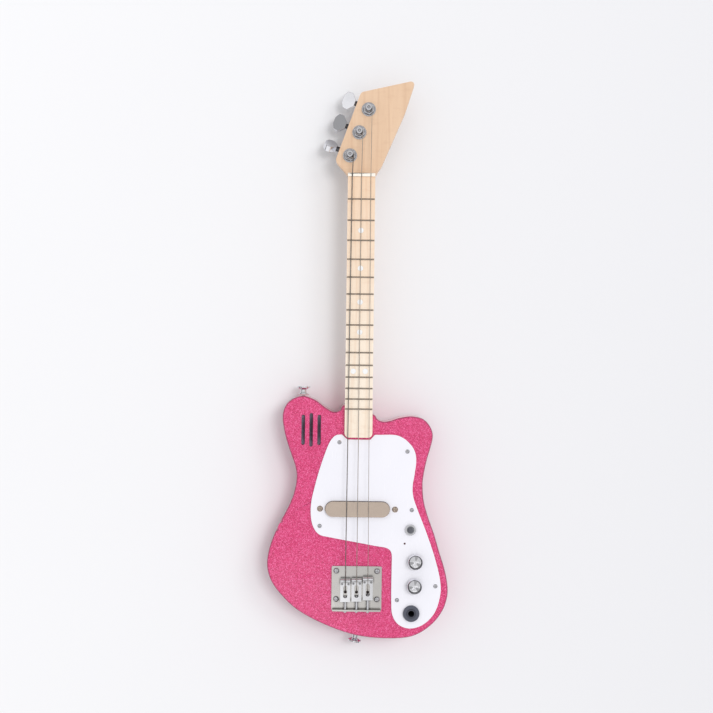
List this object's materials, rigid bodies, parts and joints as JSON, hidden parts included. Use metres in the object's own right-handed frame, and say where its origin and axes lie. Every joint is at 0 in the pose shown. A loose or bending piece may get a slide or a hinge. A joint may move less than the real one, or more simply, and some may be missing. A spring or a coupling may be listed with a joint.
{
  "type": "toy electric guitar",
  "caption": "Small three-string electric guitar for children with a sparkle body, built-in amplifier and speaker, geared tuners, adjustable saddles and an output jack.",
  "frame": {"origin": "on the flat back of the body, under the middle string at the bridge end of the scale", "axes": "+Y along the strings from the bridge to the headstock, +Z out of the front of the body, +X to the treble side, where the knobs are"},
  "size_m": [0.1888, 0.588, 0.0494],
  "materials": {
    "sparkle_pink": "gloss",
    "maple_neck": "satin",
    "maple_board": "satin",
    "white_plastic": "gloss",
    "marker_white": "gloss",
    "nut_plastic": "satin",
    "chrome": "polished",
    "nickel": "polished",
    "fret_wire": "satin",
    "bridge_steel": "polished",
    "tuner_metal": "polished",
    "dark_steel": "satin",
    "string_steel": "satin",
    "string_wound": "satin",
    "black_plastic": "satin",
    "gray_plastic": "satin",
    "felt": "matte",
    "coil_wire": "satin",
    "magnet_iron": "satin",
    "led_red": "gloss",
    "speaker_parts": "satin",
    "battery_can": "satin",
    "circuit_board": "satin",
    "lead_wire": "satin"
  },
  "bodies": {
    "guitar": {"body": "sparkle_pink", "neck": "maple_neck", "fretboard": "maple_board", "frets": "fret_wire", "fret_markers": "marker_white", "nut": "nut_plastic", "neck_plate": "chrome", "neck_screws": "chrome", "strap_buttons": "chrome", "strap_washers": "felt", "strap_screws": "chrome", "pickguard": "white_plastic", "pickguard_screws": "chrome", "pickup_cover": "nickel", "pickup_bobbin": "gray_plastic", "pickup_coil": "coil_wire", "pickup_magnet": "magnet_iron", "pickup_screws": "nickel", "pickup_springs": "dark_steel", "bridge_plate": "bridge_steel", "bridge_screws": "chrome", "string_1": "string_wound", "string_2": "string_steel", "string_3": "string_steel", "string_ferrules": "chrome", "tuner_housings": "tuner_metal", "tuner_bushings": "tuner_metal", "tuner_washers": "tuner_metal", "pots": "gray_plastic", "panel_nuts": "chrome", "power_switch": "gray_plastic", "led": "led_red", "jack_body": "black_plastic", "jack_nut": "black_plastic", "speaker": "speaker_parts", "back_cover": "black_plastic", "small_screws": "chrome", "battery_box": "black_plastic", "battery": "battery_can", "amp_board": "circuit_board", "wiring": "lead_wire"},
    "tuner_key_1": {"tuner_worm_1": "dark_steel", "tuner_button_1": "tuner_metal"},
    "tuner_spool_1": {"tuner_post_1": "tuner_metal"},
    "tuner_key_2": {"tuner_worm_2": "dark_steel", "tuner_button_2": "tuner_metal"},
    "tuner_spool_2": {"tuner_post_2": "tuner_metal"},
    "tuner_key_3": {"tuner_worm_3": "dark_steel", "tuner_button_3": "tuner_metal"},
    "tuner_spool_3": {"tuner_post_3": "tuner_metal"},
    "volume_knob": {"volume_knob": "chrome"},
    "drive_knob": {"drive_knob": "chrome"},
    "power_button": {"power_button": "black_plastic"},
    "intonation_screw_1": {"intonation_screw_1": "chrome"},
    "saddle_1": {"saddle_1": "bridge_steel"},
    "intonation_screw_2": {"intonation_screw_2": "chrome"},
    "saddle_2": {"saddle_2": "bridge_steel"},
    "intonation_screw_3": {"intonation_screw_3": "chrome"},
    "saddle_3": {"saddle_3": "bridge_steel"},
    "battery_door": {"battery_door": "black_plastic"}
  },
  "joints": [
    {"name": "tuner_key_1_turn", "type": "hinge", "parent": "guitar", "child": "tuner_key_1", "pos_m": [-0.01066, 0.44199, 0.0165], "axis": [-0.9311, 0.3649, 0], "continuous": true},
    {"name": "tuner_spool_1_turn", "type": "hinge", "parent": "guitar", "child": "tuner_spool_1", "pos_m": [-0.0123, 0.4378, 0.0165], "axis": [0, 0, 1], "continuous": true},
    {"name": "tuner_key_2_turn", "type": "hinge", "parent": "guitar", "child": "tuner_key_2", "pos_m": [-0.00121, 0.4661, 0.0165], "axis": [-0.9311, 0.3649, 0], "continuous": true},
    {"name": "tuner_spool_2_turn", "type": "hinge", "parent": "guitar", "child": "tuner_spool_2", "pos_m": [-0.00285, 0.46191, 0.0165], "axis": [0, 0, 1], "continuous": true},
    {"name": "tuner_key_3_turn", "type": "hinge", "parent": "guitar", "child": "tuner_key_3", "pos_m": [0.00824, 0.49022, 0.0165], "axis": [-0.9311, 0.3649, 0], "continuous": true},
    {"name": "tuner_spool_3_turn", "type": "hinge", "parent": "guitar", "child": "tuner_spool_3", "pos_m": [0.0066, 0.48603, 0.0165], "axis": [0, 0, 1], "continuous": true},
    {"name": "volume_knob_turn", "type": "hinge", "parent": "guitar", "child": "volume_knob", "pos_m": [0.0606, 0.0169, 0.043], "axis": [0, 0, 1], "range_deg": [-150, 150]},
    {"name": "drive_knob_turn", "type": "hinge", "parent": "guitar", "child": "drive_knob", "pos_m": [0.06, -0.0083, 0.043], "axis": [0, 0, 1], "range_deg": [-150, 150]},
    {"name": "power_press", "type": "slide", "parent": "guitar", "child": "power_button", "axis": [0, 0, 1], "range_m": [-0.0016, 0], "stiffness_N_per_m": 300, "springref_m": 0.0006},
    {"name": "intonation_screw_1_turn", "type": "hinge", "parent": "guitar", "child": "intonation_screw_1", "pos_m": [-0.01165, -0.035, 0.0404], "axis": [0, 1, 0], "range_deg": [-1440, 1440]},
    {"name": "saddle_1_slide", "type": "slide", "parent": "guitar", "child": "saddle_1", "axis": [0, 1, 0], "range_m": [-0.002, 0.002]},
    {"name": "intonation_screw_2_turn", "type": "hinge", "parent": "guitar", "child": "intonation_screw_2", "pos_m": [0, -0.035, 0.0404], "axis": [0, 1, 0], "range_deg": [-1440, 1440]},
    {"name": "saddle_2_slide", "type": "slide", "parent": "guitar", "child": "saddle_2", "axis": [0, 1, 0], "range_m": [-0.002, 0.002]},
    {"name": "intonation_screw_3_turn", "type": "hinge", "parent": "guitar", "child": "intonation_screw_3", "pos_m": [0.01165, -0.035, 0.0404], "axis": [0, 1, 0], "range_deg": [-1440, 1440]},
    {"name": "saddle_3_slide", "type": "slide", "parent": "guitar", "child": "saddle_3", "axis": [0, 1, 0], "range_m": [-0.002, 0.002]},
    {"name": "battery_door_swing", "type": "hinge", "parent": "guitar", "child": "battery_door", "pos_m": [-0.05, -0.0108, 0.002], "axis": [-1, 0, 0], "range_deg": [0, 94]}
  ],
  "couplings": [
    {"joint": "tuner_spool_1_turn", "follows": "tuner_key_1_turn", "ratio": -0.071429},
    {"joint": "tuner_spool_2_turn", "follows": "tuner_key_2_turn", "ratio": -0.071429},
    {"joint": "tuner_spool_3_turn", "follows": "tuner_key_3_turn", "ratio": -0.071429},
    {"joint": "intonation_screw_1_turn", "follows": "saddle_1_slide", "rad_per_m": -12566},
    {"joint": "intonation_screw_2_turn", "follows": "saddle_2_slide", "rad_per_m": -12566},
    {"joint": "intonation_screw_3_turn", "follows": "saddle_3_slide", "rad_per_m": -12566}
  ]
}
